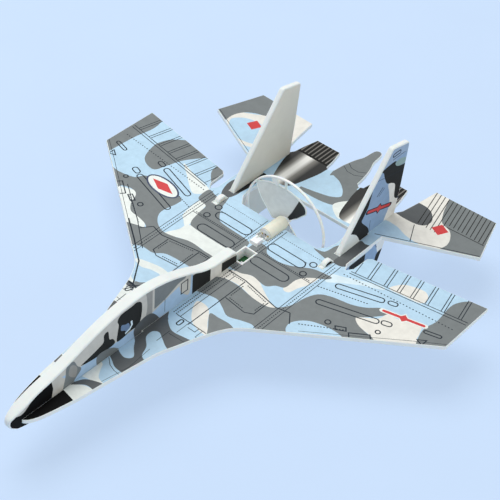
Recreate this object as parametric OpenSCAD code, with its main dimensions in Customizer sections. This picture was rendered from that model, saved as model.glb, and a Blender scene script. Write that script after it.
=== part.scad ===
// Electric foam jet plane: printed foam sheets slotted together, with a motor and
// a ring propeller in a slot of the deck and a battery pod under it.
// +Z is up, the nose points along -Y and the port wing along +X. The origin is on
// the surface that the plane stands on, under the middle of its outline.
// Outlines are drawn from a datum: x on the centre line, y on the datum station
// just ahead of the motor, z on the upper face of the deck.

/* [Airframe] */
// Wing span, tip to tip
wing_span = 300; // [290:1:310]
// Thickness of the deck sheet
deck_t = 3; // [2.6:0.1:3.2]
// Thickness of the fuselage profile plate
profile_t = 8; // [7:0.5:9]
// Thickness of each fin plate
fin_t = 4; // [3:0.5:5]
// Distance between the middles of the two fin plates
fin_gap = 94; // [92:1:96]
// Height of the deck's upper face above the ground
deck_h = 38; // [37.5:0.5:40]

/* [Propeller] */
// Outer radius of the ring round the blades
ring_r = 34.4; // [33:0.1:35]
// Radial thickness of the ring
ring_wall = 1.4; // [1:0.1:1.8]
// Length of the ring along the shaft
ring_len = 2; // [1.6:0.1:3]
// Thickness of a blade
blade_t = 0.8; // [0.6:0.1:1.2]
// Distance along the shaft between a blade's two edges
blade_depth = 7.4; // [5:0.2:7.6]
// Number of blades
blade_count = 2; // [1:1:2]

/* [Motor] */
// Outer diameter of the sleeve round the motor
sleeve_d = 10; // [9.6:0.1:10.4]
// Diameter of the motor can
motor_d = 8.5; // [8:0.1:8.5]
// Diameter of the motor shaft
shaft_d = 1; // [0.8:0.1:1.2]
// Radial running clearance of the shaft in its bush
shaft_gap = 0.05; // [0.02:0.01:0.1]

/* [Battery pod] */
// Width of the pod
pod_w = 22; // [22:1:26]
// Depth of the pod below the deck, with its lid
pod_h = 15; // [15:0.5:17]
// Thickness of the pod's walls
pod_wall = 1; // [0.8:0.1:1.2]
// Travel of the power switch
switch_travel = 2; // [1.5:0.1:2]

/* [Hidden] */
$fn = 48;

// Small overlap of a cutting shape past the face that it cuts.
eps = 0.1;
// Station of the datum ahead of the origin, which centres the outline.
datum_y = 42;
half_span = wing_span / 2;
ground_z = -deck_h;
fin_x = fin_gap / 2;

// Stations where the plates interlock with the deck.
profile_lap_y = -112;
profile_rear_y = -22;
fin_slot_y = [30, 62];
fin_tab_y = [12, 23];
fin_arch_y = [14, 23];
fin_arch_h = 3;
nozzle_gap_y = 92;

// Propeller slot in the deck, one half of its outline.
slot_half = [[33, 25.5], [38, 32.5], [39.5, 40], [38.5, 49], [36.5, 57.5]];

// Motor line.
axis_z = 0.7;
sleeve_y = [11.4, 29.8];
cap_y = 11;
can_y = [12, 29.5];
can_wall = 0.35;
boss_r = 1.2;
boss_end_y = 30;
magnet_r = 2.9;
magnet_y0 = 14.4;
coil_gap = 0.3;
coil_r = [magnet_r + coil_gap, magnet_r + 2 * coil_gap + 0.05];
coil_y = [13.2, 27.6];
sleeve_slot_y = [7.5, 27.5];

// Motor bracket: a base under the deck, a post through it and a cradle.
bracket_x = 9;
bracket_y = [-2.4, 25];
bracket_t = 1.2;
post_x = 3;
post_y = [-1.6, 6];
post_top_z = 2.4;
cradle_x = 6.2;
cradle_y = 12;
cradle_z = -8;

// Propeller. A blade lies between two straight edges: each runs at its own angle from the
// port side and passes the shaft at its own distance.
hub_r = 3.2;
hub_y = [30.3, 36.3];
ring_y = 32 - ring_len / 2;
blade_mid_y = 32.4;
lead_way = 134;
lead_off = 6;
trail_way = 47;
trail_off = 2.8;
root_r = 8;
flat_r = 18;
tip_r = [21.5, ring_r - ring_wall + 0.2];
tip_corner = 4;
tip_corner_u = 0.15;
blade_rows = 10;
blade_cols = 16;
// Webs that join a blade's tip to the ring: place across the blade, and width.
blade_webs = [[0.5, 2], [0.66, 5]];

// Pod under the deck.
pod_y = [-47, -3];
pod_x = pod_w / 2;
lid_t = 1;
pod_base_z = -deck_t - pod_h + lid_t;
window_x = [-2.5, 8];
window_y = [-22, -6.5];
collar_wall = 0.8;
collar_rise = 0.3;
board_t = 1;
board_top_z = -7.5;
board_x = pod_x - pod_wall - 0.4;
board_y = [-38, -4.6];
pod_boss_r = 1.5;
pod_boss_h = 7;
screw_r = 0.7;
screw_x = pod_x - 2.3;
screw_y = [-44.6, -5.4];
boss_hole_h = 5;
socket_low = [2.7, -20.9];
socket_size = [4.4, 4.9, 3.4];
socket_wall = 0.65;
socket_floor = 1;
pin_w = 0.5;
cell_w = 15;
cell_l = 24;
cell_h = 5.6;
cell_y = -43;
cell_end_l = 1.2;
pad_t = 0.8;
lead_x = 1.3;
tag_x = 2.4;
switch_y = -17;
switch_l = 8.6;
switch_w = 3.8;
switch_h = 3.5;
switch_wall = 0.8;
knob_w = 1.6;
knob_l = 2.6;
knob_y = switch_y + 1.9;
knob_drop = 2.5;
knob_slot_y = [knob_y - 0.3, knob_y + knob_l + switch_travel + 0.5];
foot_l = switch_l - 2 * switch_wall - switch_travel - 0.8;
wire_r = 0.45;

// Half of the deck outline from the nose tip to the tail tip, port side. The
// curved stretches are control points for curve().
nose_half = [[0, -214], [5, -213], [8.5, -209], [11.5, -200], [15.5, -180], [18.2, -160],
             [20.8, -140], [23.8, -120], [28.6, -105], [33.5, -90], [37.5, -80],
             [42.5, -71.5], [50, -64]];
wing_half = [[half_span, 10], [half_span, 58], [66.5, 43.5], [64, 41], [63.5, 27],
             [60.5, 22.5], [57.5, 27], [57.5, 66]];
tail_half = [[118.5, 95.5], [106, 134], [56.5, 132], [54, 113], [51.5, 98],
             [48, nozzle_gap_y]];
nozzle_half = [[45, 97], [43.4, 108], [41, 119], [20, 119], [17.6, 108], [16.4, 99],
               [13.5, 97.5], [10.8, 100]];
stinger_half = [[10.8, 100], [9.6, 110], [7.2, 120], [4.6, 127], [3.9, 134], [2.8, 139.3],
                [0, 141]];

// Fuselage profile in the y-z plane: the spine over the nose, canopy and back, and
// the belly down to the launching grip that the plane stands on.
spine = [[-225, -1], [-223.5, 3], [-215, 7], [-200, 11.5], [-188, 14], [-175, 17.5],
         [-160, 22.5], [-145, 27], [-128, 30], [-112, 31], [-98, 29.5], [-84, 26],
         [-68, 20], [-55, 14], [-44, 11]];
belly = [[-224, -4], [-219, -7], [-200, -10], [-160, -14.5], [-130, -18.5],
         [-104, -24], [-84, -31]];
grip_y = [-67, -51];

// A number of points on the smooth curve through control points (Catmull-Rom).
function curve(p, n = 4) = [
    for (i = [0 : len(p) - 2], k = [0 : n - 1])
        let (a = p[max(i - 1, 0)], b = p[i], c = p[i + 1], d = p[min(i + 2, len(p) - 1)],
             t = k / n)
        (2 * b + (c - a) * t + (2 * a - 5 * b + 4 * c - d) * t * t
            + (3 * b - a - 3 * c + d) * t * t * t) / 2
];
function mirror_x(p) = [for (i = [len(p) - 1 : -1 : 0]) [-p[i].x, p[i].y]];
function both_sides(p) = concat(p, mirror_x(p));

// Moves a shape from the datum to its place over the ground.
module place() {
    translate([0, datum_y, deck_h])
        children();
}

// A block between two corners.
module block(low, high) {
    translate(low)
        cube(high - low);
}

// A plate of thickness t standing on the y-z plane, its middle at x.
module upright(t, x) {
    translate([x - t / 2, 0, 0])
        rotate([90, 0, 90])
            linear_extrude(t)
                children();
}

// A turned piece on the motor line from y0 to y1.
module turned(r, y0, y1) {
    translate([0, y0, axis_z])
        rotate([-90, 0, 0])
            cylinder(r = r, h = y1 - y0);
}

function unit(v) = v / norm(v);

// A wire along points with mitred bends. None of it may run along the side axis.
module wire(points, r = wire_r, side = [1, 0, 0], sides = 8) {
    last = len(points) - 1;
    ways = [for (i = [1 : last]) unit(points[i] - points[i - 1])];
    rings = [
        for (i = [0 : last])
            let (along = unit(ways[max(i - 1, 0)] + ways[min(i, last - 1)]),
                 u = unit(cross(along, side)),
                 v = cross(along, u))
            for (k = [0 : sides - 1])
                points[i] + r * (cos(360 * k / sides) * u + sin(360 * k / sides) * v)
    ];
    walls = [
        for (i = [0 : last - 1], k = [0 : sides - 1])
            let (a = i * sides + k, b = i * sides + (k + 1) % sides)
            each [[a, b, b + sides], [a, b + sides, a + sides]]
    ];
    ends = [
        [for (k = [sides - 1 : -1 : 0]) k],
        [for (k = [0 : sides - 1]) last * sides + k]
    ];
    polyhedron(points = rings, faces = concat(walls, ends));
}

module wing_deck() {
    outline = concat(curve(nose_half), wing_half, tail_half, nozzle_half, curve(stinger_half));
    color([0.77, 0.9, 0.97])
        place()
            difference() {
                translate([0, 0, -deck_t])
                    linear_extrude(deck_t)
                        polygon(both_sides(outline));
                translate([0, 0, -deck_t - eps])
                    linear_extrude(deck_t + 2 * eps)
                        deck_openings();
            }
}

// The openings of the deck, as a flat drawing.
module deck_openings() {
    polygon(both_sides(slot_half));
    translate([-profile_t / 2, -230])
        square([profile_t, profile_lap_y + 230]);
    translate([window_x[0], window_y[0]])
        square([window_x[1] - window_x[0], window_y[1] - window_y[0]]);
    translate([-post_x, post_y[0]])
        square([2 * post_x, post_y[1] - post_y[0]]);
    translate([-sleeve_d / 2, sleeve_slot_y[0]])
        square([sleeve_d, sleeve_slot_y[1] - sleeve_slot_y[0]]);
    for (side = [-1, 1], y = [fin_slot_y, fin_tab_y])
        translate([side * fin_x - fin_t / 2, y[0]])
            square([fin_t, y[1] - y[0]]);
}

module fuselage_profile() {
    outline = concat(
        curve(spine),
        [[-44, 11], [-27, 10.5], [-23.5, 9.5], [-22.2, 7], [profile_rear_y, 0],
         [profile_rear_y, -deck_t], [-49, -deck_t], [-49.5, -30], [grip_y[1], ground_z],
         [grip_y[0], ground_z]],
        [for (i = [len(belly) - 1 : -1 : 0]) belly[i]]
    );
    color([0.93, 0.95, 0.94])
        place()
            difference() {
                upright(profile_t, 0)
                    polygon(outline);
                block([-profile_t, profile_lap_y, -deck_t], [profile_t, 0, 0]);
            }
}

// A fin above the deck and the nacelle wall below it, cut from one plate.
// Its front tab fills a slot of the deck and stands up above it as an arch.
module fin(side) {
    arch_mid = (fin_arch_y[0] + fin_arch_y[1]) / 2;
    arch_half = (fin_arch_y[1] - fin_arch_y[0]) / 2;
    arch = [for (a = [0 : 20 : 180]) [arch_mid - arch_half * cos(a), fin_arch_h * sin(a)]];
    outline = concat(
        [[fin_slot_y[0], -deck_t], [fin_slot_y[0], 0.5], [31.5, 2.5], [77, 62.8], [79, 64],
         [96, 60.5], [97.3, 59], [95, 28], [nozzle_gap_y, 0], [fin_slot_y[1], 0],
         [fin_slot_y[1], -deck_t], [89, -deck_t], [87, -17], [82, -30], [79, ground_z],
         [-8, ground_z], [-14, -32], [-24, -17], [-32, -deck_t], [fin_tab_y[0], -deck_t],
         [fin_tab_y[0], 0]],
        arch,
        [[fin_tab_y[1], -deck_t]]
    );
    place()
        upright(fin_t, side * fin_x)
            polygon(outline);
}

module fin_port() {
    color([0.62, 0.74, 0.86])
        fin(1);
}

module fin_starboard() {
    color([0.62, 0.74, 0.86])
        fin(-1);
}

// Clip under the deck: a base, a post through the deck and a cradle for the sleeve.
module motor_bracket() {
    base_z = -deck_t - bracket_t;
    lead_hole_y = [post_y[1] + 0.4, cap_y - 1.6];
    color([0.95, 0.96, 0.95])
        place()
            difference() {
                union() {
                    block([-bracket_x, bracket_y[0], base_z], [bracket_x, bracket_y[1], -deck_t]);
                    block([-post_x, post_y[0], -deck_t], [post_x, post_y[1], post_top_z]);
                    block([-cradle_x, cradle_y, cradle_z], [cradle_x, bracket_y[1], -deck_t]);
                }
                turned(sleeve_d / 2, sleeve_slot_y[0] + 0.5, sleeve_slot_y[1] + 0.5);
                block([-post_x - 0.2, lead_hole_y[0], base_z - eps],
                      [post_x + 0.2, lead_hole_y[1], 0]);
                block([-post_x / 2, post_y[1] - 2.8, post_top_z - 1],
                      [post_x / 2, post_y[1] + eps, post_top_z + eps]);
            }
}

module motor_sleeve() {
    color([0.93, 0.91, 0.82])
        place()
            difference() {
                turned(sleeve_d / 2, sleeve_y[0], sleeve_y[1]);
                turned(motor_d / 2, sleeve_y[0] - eps, sleeve_y[1] + eps);
            }
}

module motor_can() {
    rear_wall_y = can_y[1] - 0.6;
    color("silver")
        place()
            difference() {
                union() {
                    turned(motor_d / 2, can_y[0], can_y[1]);
                    turned(boss_r + 0.5, can_y[1], boss_end_y);
                }
                turned(motor_d / 2 - can_wall, can_y[0] - eps, rear_wall_y);
                turned(boss_r, rear_wall_y - eps, boss_end_y + eps);
            }
}

module field_magnet() {
    color([0.35, 0.36, 0.38])
        place()
            difference() {
                turned(magnet_r, magnet_y0, can_y[1] - 0.6);
                turned(boss_r, magnet_y0 - eps, can_y[1]);
            }
}

module shaft_bush() {
    color([0.72, 0.52, 0.3])
        place()
            difference() {
                turned(boss_r, magnet_y0, boss_end_y);
                turned(shaft_d / 2 + shaft_gap, magnet_y0 - eps, boss_end_y + eps);
            }
}

module motor_end_cap() {
    color([0.85, 0.86, 0.84])
        place()
            difference() {
                turned(motor_d / 2, cap_y, can_y[0]);
                turned(1.1, cap_y - eps, can_y[0] + eps);
                for (side = [-1, 1])
                    block([side * tag_x - 0.5, cap_y - eps, axis_z - 0.5],
                          [side * tag_x + 0.5, can_y[0] + eps, axis_z + 0.5]);
            }
}

// Two brush strips held in the end cap, with the tags that the leads are soldered to.
module motor_brushes() {
    color([0.85, 0.7, 0.35])
        place()
            for (side = [-1, 1]) {
                block([side * tag_x - 0.5, cap_y - 0.8, axis_z - 0.5],
                      [side * tag_x + 0.5, can_y[0] + 0.3, axis_z + 0.5]);
                block([side * 1.9 - 1, can_y[0] + 0.3, axis_z - 0.5],
                      [side * 1.9 + 1, can_y[0] + 0.5, axis_z + 0.5]);
            }
}

// Self-supporting coil basket on its plastic disc, which turns round the magnet.
module rotor_coil() {
    disc_y = coil_y[0] + 0.8;
    color([0.72, 0.4, 0.2])
        place()
            difference() {
                turned(coil_r[1], coil_y[0], coil_y[1]);
                turned(coil_r[0], disc_y, coil_y[1] + eps);
                turned(shaft_d / 2, coil_y[0] - eps, disc_y + eps);
            }
}

module commutator() {
    color("gold")
        place()
            difference() {
                turned(0.85, 12.1, coil_y[0]);
                turned(shaft_d / 2, 12, coil_y[0] + eps);
            }
}

module motor_shaft() {
    color([0.75, 0.76, 0.78])
        place()
            turned(shaft_d / 2, 12.1, hub_y[1] - 1);
}

// Angles of a blade's two edges at radius r; inside root_r they run straight to the hub.
function lead_angle(r) = lead_way + asin(lead_off / max(r, root_r));
function trail_angle(r) = trail_way - asin(trail_off / max(r, root_r));
// Share of the full depth at radius r: a blade is flat at the hub and again at the ring.
function depth_share(r) = pow(min(1, r / root_r), 1.5)
    * (1 - 0.9 * pow(max(0, r - flat_r) / (tip_r[1] - flat_r), 2));
// Radius of the tip at u across the blade, from 0 at the trailing edge to 1 at the leading one.
function tip_at(u) = tip_r[0] + (tip_r[1] - tip_r[0]) * pow(u, 1.3)
    - tip_corner * pow(max(0, 1 - u / tip_corner_u), 2);
// A point of a blade at u across and v outwards.
function blade_point(u, v, lift) =
    let (r0 = hub_r - 0.6,
         r = r0 + (tip_at(u) - r0) * v,
         a = trail_angle(r) + (lead_angle(r) - trail_angle(r)) * u)
    [r * cos(a), blade_mid_y + blade_depth * depth_share(r) * (0.5 - u) + lift, r * sin(a)];
function blade_grid(lift) = [
    for (i = [0 : blade_rows], j = [0 : blade_cols])
        blade_point(j / blade_cols, i / blade_rows, lift)
];

// A closed grid shell from two faces that have the same rows and columns.
module grid_shell(front, back, rows, cols) {
    w = cols + 1;
    n = (rows + 1) * w;
    quads = [for (i = [0 : rows - 1], j = [0 : cols - 1]) [i * w + j, i * w + j + 1,
             (i + 1) * w + j + 1, (i + 1) * w + j]];
    rim = concat([for (j = [0 : cols]) j], [for (i = [1 : rows]) i * w + cols],
                 [for (j = [cols - 1 : -1 : 0]) rows * w + j],
                 [for (i = [rows - 1 : -1 : 1]) i * w]);
    m = len(rim);
    faces = concat(
        [for (q = quads) [q[0], q[1], q[2]]],
        [for (q = quads) [q[0], q[2], q[3]]],
        [for (q = quads) [q[2] + n, q[1] + n, q[0] + n]],
        [for (q = quads) [q[3] + n, q[2] + n, q[0] + n]],
        [for (k = [0 : m - 1]) [rim[(k + 1) % m], rim[k], rim[k] + n]],
        [for (k = [0 : m - 1]) [rim[(k + 1) % m], rim[k] + n, rim[(k + 1) % m] + n]]
    );
    polyhedron(points = concat(front, back), faces = faces);
}

// A web from a blade's tip into the ring.
module tip_web(u, width) {
    p = blade_point(u, 0.97, 0);
    translate([0, p.y, 0])
        rotate([0, -atan2(p.z, p.x), 0])
            block([norm([p.x, p.z]), -blade_t / 2, -width / 2],
                  [ring_r - ring_wall / 2, blade_t / 2, width / 2]);
}

// Hub, screw-shaped blades and ring, moulded in one piece.
module propeller() {
    color([0.93, 0.95, 0.94])
        place() {
            difference() {
                turned(hub_r, hub_y[0], hub_y[1]);
                turned(shaft_d / 2, hub_y[0] - eps, hub_y[1] - 1);
            }
            difference() {
                turned(ring_r, ring_y, ring_y + ring_len);
                turned(ring_r - ring_wall, ring_y - eps, ring_y + ring_len + eps);
            }
            translate([0, 0, axis_z])
                for (k = [0 : blade_count - 1])
                    rotate([0, -360 * k / blade_count, 0]) {
                        grid_shell(blade_grid(-blade_t / 2), blade_grid(blade_t / 2),
                                   blade_rows, blade_cols);
                        for (web = blade_webs)
                            tip_web(web[0], web[1]);
                    }
        }
}

// Housing under the deck, open below, with a collar that lines the deck's window.
module power_pod() {
    inner_x = pod_x - pod_wall;
    color([0.94, 0.95, 0.95])
        place()
            difference() {
                union() {
                    difference() {
                        block([-pod_x, pod_y[0], pod_base_z], [pod_x, pod_y[1], -deck_t]);
                        block([-inner_x, pod_y[0] + pod_wall, pod_base_z - eps],
                              [inner_x, pod_y[1] - pod_wall, -deck_t - pod_wall]);
                    }
                    block([window_x[0], window_y[0], board_top_z],
                          [window_x[1], window_y[1], collar_rise]);
                    for (side = [-1, 1])
                        block([side * inner_x - 0.8, board_y[0], board_top_z],
                              [side * inner_x + 0.8, board_y[1], board_top_z + 1]);
                    pod_bosses();
                }
                block([window_x[0] + collar_wall, window_y[0] + collar_wall, board_top_z - eps],
                      [window_x[1] - collar_wall, window_y[1] - collar_wall, collar_rise + eps]);
                block([-2.2, pod_y[1] - 2, board_top_z], [2.2, pod_y[1] + eps, board_top_z + 2]);
                block([inner_x - eps, -32, -5.4], [pod_x + eps, -30.6, -deck_t - 0.6]);
            }
}

module pod_bosses() {
    for (side = [-1, 1], y = screw_y)
        translate([side * screw_x, y, pod_base_z])
            difference() {
                cylinder(r = pod_boss_r, h = pod_boss_h);
                translate([0, 0, -eps])
                    cylinder(r = screw_r, h = boss_hole_h + eps);
            }
}

module pod_lid() {
    color([0.9, 0.91, 0.92])
        place()
            difference() {
                block([-pod_x, pod_y[0], pod_base_z - lid_t], [pod_x, pod_y[1], pod_base_z]);
                for (side = [-1, 1], y = screw_y)
                    translate([side * screw_x, y, pod_base_z - lid_t - eps])
                        cylinder(r = screw_r + 0.2, h = lid_t + 2 * eps);
                block([-knob_w / 2 - 0.4, knob_slot_y[0], pod_base_z - lid_t - eps],
                      [knob_w / 2 + 0.4, knob_slot_y[1], pod_base_z + eps]);
            }
}

module pod_screws() {
    color("silver")
        place()
            for (side = [-1, 1], y = screw_y)
                translate([side * screw_x, y, pod_base_z - lid_t])
                    difference() {
                        union() {
                            translate([0, 0, -0.8])
                                cylinder(r = 1.3, h = 0.8);
                            cylinder(r = screw_r, h = boss_hole_h);
                        }
                        for (a = [0, 90])
                            rotate([0, 0, a])
                                block([-0.8, -0.15, -0.9], [0.8, 0.15, -0.4]);
                    }
}

module battery_cell() {
    z0 = pod_base_z + pad_t;
    color([0.75, 0.77, 0.8])
        place() {
            block([-cell_w / 2, cell_y, z0], [cell_w / 2, cell_y + cell_l, z0 + cell_h]);
            block([-cell_w / 2 + 1, cell_y + cell_l, z0 + 1.6],
                  [cell_w / 2 - 1, cell_y + cell_l + cell_end_l, z0 + 4]);
        }
}

module battery_pad() {
    color([0.3, 0.3, 0.32])
        place()
            block([-cell_w / 2 + 1, cell_y + 1, pod_base_z],
                  [cell_w / 2 - 1, cell_y + cell_l - 1, pod_base_z + pad_t]);
}

// Two leads from the battery's end up to the underside of the board.
module battery_leads() {
    lead_y = cell_y + cell_l + cell_end_l;
    color([0.75, 0.1, 0.1])
        place()
            for (x = [-5.5, 5.5])
                wire([[x, lead_y, -13.2], [x, lead_y + 1, -13.2], [x, lead_y + 1.5, -13],
                      [x, lead_y + 1.7, -12.5], [x, lead_y + 1.7, board_top_z - board_t]]);
}

module control_board() {
    color([0.12, 0.4, 0.2])
        place()
            block([-board_x, board_y[0], board_top_z - board_t], [board_x, board_y[1], board_top_z]);
}

module receiver_chip() {
    z1 = board_top_z - board_t;
    color([0.1, 0.1, 0.1])
        place() {
            block([-7, -36, z1 - 0.9], [-2, -31, z1 - 0.2]);
            for (i = [0 : 3], side = [-1, 1])
                block([-6.6 + 1.2 * i, -33.5 + side * 2.9 - 0.4, z1 - 0.5],
                      [-6.2 + 1.2 * i, -33.5 + side * 2.9 + 0.4, z1]);
        }
}

module motor_driver() {
    color([0.12, 0.12, 0.13])
        place()
            block([-1.2, -20.4, board_top_z], [0.8, -17.6, board_top_z + 0.9]);
}

module crystal_can() {
    color("silver")
        place()
            block([1, -35, board_top_z - board_t - 0.8], [4.2, -32.5, board_top_z - board_t]);
}

module status_led() {
    color([0.95, 0.2, 0.15])
        place()
            block([4.4, -12.6, board_top_z], [6, -11.8, board_top_z + 0.7]);
}

// Upright charging socket in the port front corner of the window, open at its top.
module charge_socket() {
    color([0.96, 0.97, 0.96])
        place()
            translate([socket_low.x, socket_low.y, board_top_z])
                difference() {
                    cube(socket_size);
                    block([socket_wall, socket_wall, socket_floor],
                          [socket_size.x - socket_wall, socket_size.y - socket_wall,
                           socket_size.z + eps]);
                }
}

module charge_pins() {
    middle = [socket_low.x + socket_size.x / 2, socket_low.y + socket_size.y / 2];
    color("gold")
        place()
            for (side = [-1, 1])
                translate([middle.x - pin_w / 2, middle.y + side * 0.9 - pin_w / 2,
                           board_top_z + socket_floor])
                    cube([pin_w, pin_w, socket_size.z - socket_floor - 0.5]);
}

// Body of the slide switch: a channel for the slider's foot, open below.
module switch_body() {
    z0 = pod_base_z;
    color([0.7, 0.71, 0.72])
        place()
            difference() {
                block([-switch_w / 2, switch_y, z0],
                      [switch_w / 2, switch_y + switch_l, z0 + switch_h]);
                block([-1.3, switch_y + switch_wall, z0 + 0.6],
                      [1.3, switch_y + switch_l - switch_wall, z0 + 2.4]);
                block([-knob_w / 2 - 0.1, knob_slot_y[0], z0 - eps],
                      [knob_w / 2 + 0.1, knob_slot_y[1], z0 + 1]);
            }
}

module switch_pins() {
    color("gold")
        place()
            for (i = [-1 : 1])
                block([-0.25, switch_y + switch_l / 2 + 2.5 * i - 0.25, pod_base_z + switch_h],
                      [0.25, switch_y + switch_l / 2 + 2.5 * i + 0.25, board_top_z - board_t]);
}

// Slider at its off end: a foot in the channel and a ribbed knob below the lid.
module switch_slider() {
    z0 = pod_base_z;
    knob_z = z0 - lid_t - knob_drop;
    foot_y = switch_y + switch_wall + 0.3;
    color([0.08, 0.08, 0.09])
        place() {
            block([-1.1, foot_y, z0 + 0.8], [1.1, foot_y + foot_l, z0 + 2.2]);
            difference() {
                block([-knob_w / 2, knob_y, knob_z], [knob_w / 2, knob_y + knob_l, z0 + 0.8]);
                for (i = [0 : 2])
                    block([-1, knob_y + 0.5 + 0.6 * i, knob_z - eps],
                          [1, knob_y + 0.8 + 0.6 * i, knob_z + 0.3]);
            }
        }
}

// Two leads from the board, under the bracket and up to the brush tags.
module motor_leads() {
    run_z = -6.4;
    color([0.88, 0.88, 0.84])
        place()
            for (side = [-1, 1])
                wire([[side * lead_x, -5.7, board_top_z], [side * lead_x, -5.7, -6.9],
                      [side * lead_x, -5.2, run_z], [side * lead_x, 6.6, run_z],
                      [side * 1.6, 7.5, run_z + 0.5], [side * 2.2, 8, run_z + 2],
                      [side * tag_x, 8.1, axis_z - 1], [side * tag_x, 8.5, axis_z - 0.3],
                      [side * tag_x, 9.3, axis_z], [side * tag_x, cap_y - 0.8, axis_z]]);
}

// Quarter-wave aerial wire along the underside of the port wing.
module aerial_wire() {
    r = 0.35;
    y = -31.3;
    color([0.2, 0.2, 0.22])
        place()
            wire([[8, y, board_top_z], [8, y, -5.2], [8.2, y, -4.8], [8.6, y, -4.6],
                  [pod_x + 0.4, y, -4.5], [pod_x + 1.6, y, -4], [pod_x + 3, y, -deck_t - r],
                  [42, y, -deck_t - r]], r, side = [0, 1, 0]);
}

wing_deck();
fuselage_profile();
fin_port();
fin_starboard();
motor_bracket();
motor_sleeve();
motor_can();
field_magnet();
shaft_bush();
motor_end_cap();
motor_brushes();
rotor_coil();
commutator();
motor_shaft();
propeller();
power_pod();
pod_lid();
pod_screws();
battery_cell();
battery_pad();
battery_leads();
control_board();
receiver_chip();
motor_driver();
crystal_can();
status_led();
charge_socket();
charge_pins();
switch_body();
switch_pins();
switch_slider();
motor_leads();
aerial_wire();
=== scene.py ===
import math

import bmesh
import bpy
import numpy as np
from mathutils import Matrix, Vector
from mathutils.geometry import delaunay_2d_cdt


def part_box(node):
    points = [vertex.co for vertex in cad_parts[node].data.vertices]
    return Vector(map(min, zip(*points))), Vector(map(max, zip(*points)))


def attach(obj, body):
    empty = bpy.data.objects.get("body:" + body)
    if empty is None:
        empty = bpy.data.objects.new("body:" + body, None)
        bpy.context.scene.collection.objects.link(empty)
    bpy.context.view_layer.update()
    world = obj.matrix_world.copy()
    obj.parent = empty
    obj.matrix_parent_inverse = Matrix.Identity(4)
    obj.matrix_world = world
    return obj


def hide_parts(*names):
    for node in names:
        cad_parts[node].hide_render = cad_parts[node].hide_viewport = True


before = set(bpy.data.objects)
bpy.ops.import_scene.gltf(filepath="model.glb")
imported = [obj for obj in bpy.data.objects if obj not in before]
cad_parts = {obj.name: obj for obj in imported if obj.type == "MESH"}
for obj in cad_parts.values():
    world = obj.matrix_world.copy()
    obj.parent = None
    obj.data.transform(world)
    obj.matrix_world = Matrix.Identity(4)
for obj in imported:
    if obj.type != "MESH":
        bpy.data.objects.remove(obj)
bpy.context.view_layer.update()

# Places are given in millimetres from the model's datum: x from the centre line, y from the
# station just ahead of the motor, z from the deck's upper face.
MM = 0.001
TOP_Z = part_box("wing_deck")[1].z
SLEEVE_Y = (11.4, 29.8)
DATUM_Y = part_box("motor_sleeve")[0].y - SLEEVE_Y[0] * MM

AXIS_Z = 0.7     # height of the motor's shaft
INK_H = 0.06     # how far the printed film stands over the foam's face, and reaches below it
LINE_W = 0.85    # width of a printed panel line
FINE_W = 0.8     # width of a dash in a printed seam

NOZZLE_X = (16, 46)   # the sides of a printed nozzle

# The nose of the fuselage plate: blunted from one station on, rounded in plan from another.
NOSE_TIP_Y = -225
NOSE_BLUNT_Y = -200
NOSE_KEPT = 0.86
NOSE_ROUND_Y = -208
NOSE_ROUND_LEN = 15.5
NOSE_CUTS = 14


def at(x, y, z):
    """A point of the model, from millimetres off the datum."""
    return Vector((x * MM, y * MM + DATUM_Y, z * MM + TOP_Z))


def colour(r, g, b):
    """A linear colour from the 0-255 values of a colour chart."""
    shares = [c / 255 for c in (r, g, b)]
    return tuple(((c + 0.055) / 1.055) ** 2.4 if c > 10 / 255 else c / 12.92 for c in shares) + (1,)


# ---------------------------------------------------------------- camera and light

def add_camera():
    azimuth, elevation, roll = (math.radians(a) for a in (37.84, 41.615, 4.44))
    back = Vector((math.sin(azimuth) * math.cos(elevation),
                   -math.cos(azimuth) * math.cos(elevation), math.sin(elevation)))
    right = Vector((math.cos(azimuth), math.sin(azimuth), 0))
    up = back.cross(right)
    axes = (math.cos(roll) * right + math.sin(roll) * up,
            math.cos(roll) * up - math.sin(roll) * right, back)
    lens = bpy.data.cameras.new("camera")
    lens.lens = 104.4
    lens.sensor_width = 36
    camera = bpy.data.objects.new("camera", lens)
    place = Matrix.Translation(at(445.78, -578.18, 642.22))
    camera.matrix_world = place @ Matrix(axes).transposed().to_4x4()
    bpy.context.collection.objects.link(camera)
    bpy.context.scene.camera = camera


def add_light(name, place, aim, size, power, tint=(1, 1, 1)):
    lamp = bpy.data.lights.new(name, "AREA")
    lamp.size = size
    lamp.energy = power
    lamp.color = tint
    ob = bpy.data.objects.new(name, lamp)
    turn = (place - aim).to_track_quat("Z", "Y").to_matrix().to_4x4()
    ob.matrix_world = Matrix.Translation(place) @ turn
    bpy.context.collection.objects.link(ob)


def add_studio():
    middle = at(0, -30, 0)
    add_light("softbox_top", middle + Vector((-0.55, 0.2, 1.5)), middle, 1.2, 20, (1, 0.985, 0.96))
    add_light("softbox_side", middle + Vector((-1.3, -0.9, 0.7)), middle, 0.9, 3.5)
    add_light("softbox_port", middle + Vector((1.5, -0.3, 0.45)), middle, 1.1, 7, (1, 0.97, 0.93))
    world = bpy.data.worlds.new("studio")
    world.use_nodes = True
    sky = world.node_tree.nodes["Background"]
    sky.inputs["Color"].default_value = (0.93, 0.965, 1, 1)
    sky.inputs["Strength"].default_value = 0.45
    bpy.context.scene.world = world
    bpy.context.scene.view_settings.view_transform = "Standard"


# ---------------------------------------------------------------- materials

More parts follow.
